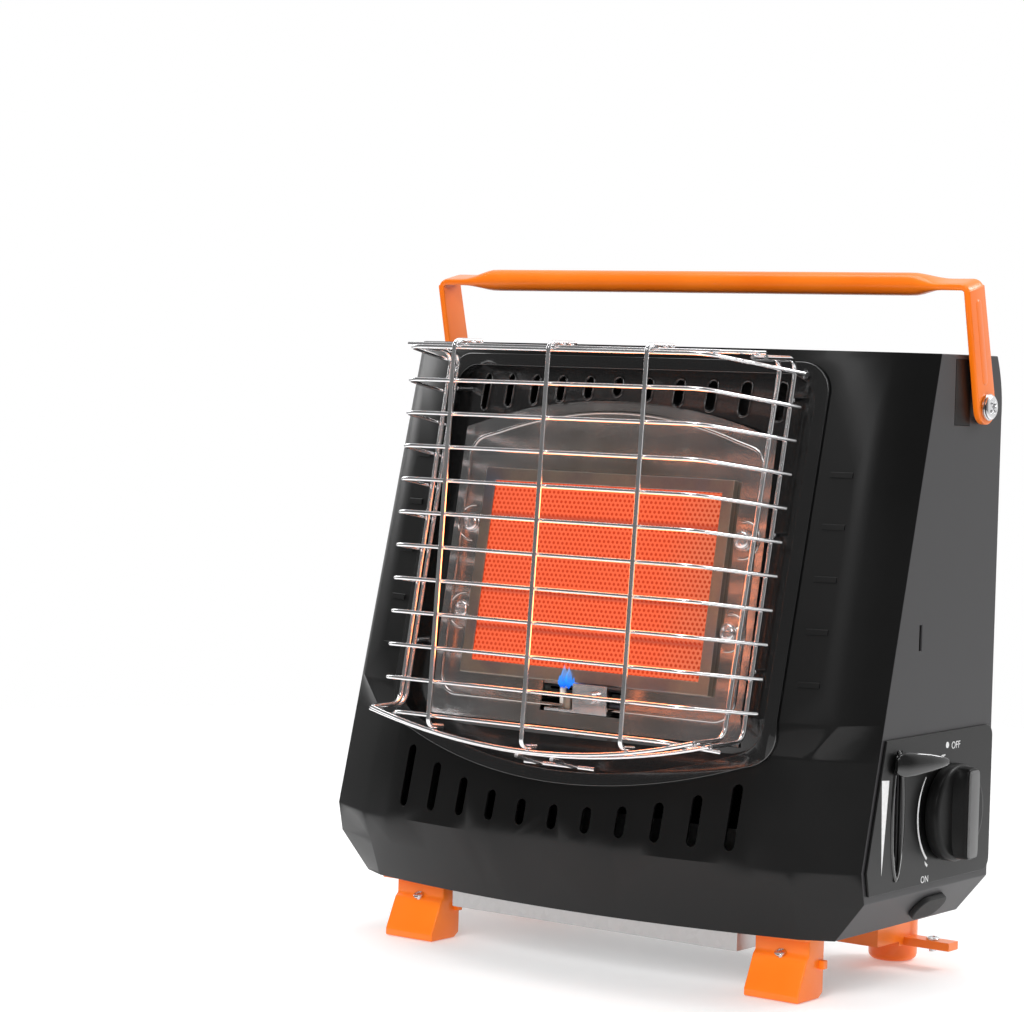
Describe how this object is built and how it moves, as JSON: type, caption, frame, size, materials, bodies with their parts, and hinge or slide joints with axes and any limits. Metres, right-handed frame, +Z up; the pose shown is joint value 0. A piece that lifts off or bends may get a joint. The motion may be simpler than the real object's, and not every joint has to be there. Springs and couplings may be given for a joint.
{
  "type": "portable gas heater",
  "caption": "Portable gas heater with a glowing ceramic burner behind a wire guard, a bowed front, a folding carry handle, a side control knob and a cartridge bay at the back.",
  "frame": {"origin": "middle of the whole heater's outline, on the floor", "axes": "+Z up, the burner faces -Y, +X to the right when looking at the burner"},
  "size_m": [0.2912, 0.1674, 0.2946],
  "materials": {
    "gloss_black": "gloss",
    "satin_grey": "satin",
    "black_enamel": "satin",
    "black_plastic": "matte",
    "light_grey": "satin",
    "galvanised": "satin",
    "polished": "polished",
    "chrome_wire": "polished",
    "chrome_parts": "polished",
    "burner_steel": "satin",
    "ceramic": "matte",
    "brass": "satin",
    "cast_metal": "satin",
    "orange": "satin",
    "black_rubber": "matte"
  },
  "bodies": {
    "cabinet": {"front_shell": "gloss_black", "opening_lip": "gloss_black", "control_panel": "gloss_black", "side_panel_right": "satin_grey", "side_panel_left": "satin_grey", "recess_panel": "black_enamel", "back_cover": "black_enamel", "hinge_knuckles": "black_enamel", "side_insets": "black_plastic", "base_pan": "galvanised", "tray": "galvanised", "heat_shield": "galvanised", "burner_housing": "galvanised", "injector_bracket": "galvanised", "valve_bracket": "galvanised", "cartridge_cradle": "galvanised", "lever_guide": "galvanised", "door_catch": "galvanised", "reflector": "polished", "guard_crosswires": "chrome_wire", "guard_returns_right": "chrome_wire", "guard_returns_left": "chrome_wire", "guard_uprights": "chrome_wire", "guard_upright_ends": "chrome_wire", "guard_side_wires": "chrome_wire", "guard_arcs": "chrome_wire", "guard_hooks": "chrome_wire", "reflector_screws": "chrome_parts", "reflector_washers": "chrome_parts", "pilot_bracket": "chrome_parts", "handle_screws": "chrome_parts", "handle_washers": "chrome_parts", "foot_screws": "chrome_parts", "hinge_pin": "chrome_parts", "thermocouple": "chrome_parts", "plaque_frame": "burner_steel", "mixer_tube": "burner_steel", "pilot_burner": "burner_steel", "ceramic_plaque": "ceramic", "spark_electrode": "ceramic", "gas_injector": "brass", "gas_pipe": "brass", "cartridge_collar": "brass", "valve_body": "cast_metal", "foot_front_right": "orange", "foot_front_left": "orange", "foot_rear_right": "orange", "foot_rear_left": "orange", "bumper_plug": "black_rubber", "piezo_igniter": "black_rubber", "igniter_lead": "black_rubber"},
    "handle": {"handle_grip": "orange", "handle_arm_right": "orange", "handle_arm_left": "orange"},
    "knob": {"control_knob": "black_plastic", "knob_insert": "light_grey", "valve_shaft": "chrome_parts"},
    "lever": {"lock_lever": "black_plastic"},
    "door": {"cartridge_door": "black_enamel", "door_pull": "black_enamel"}
  },
  "joints": [
    {"name": "handle_fold", "type": "hinge", "parent": "cabinet", "child": "handle", "pos_m": [-0.00355, 0.04525, 0.2397], "axis": [1, 0, 0], "range_deg": [-163, 40]},
    {"name": "knob_turn", "type": "hinge", "parent": "cabinet", "child": "knob", "pos_m": [0.13145, 0.02725, 0.074], "axis": [1, 0, 0], "range_deg": [0, 140]},
    {"name": "lever_slide", "type": "slide", "parent": "cabinet", "child": "lever", "axis": [0, 0, -1], "range_m": [0, 0.042]},
    {"name": "door_swing", "type": "hinge", "parent": "cabinet", "child": "door", "pos_m": [-0.00355, 0.06885, 0.034], "axis": [1, 0, 0], "range_deg": [-100, 0]}
  ]
}
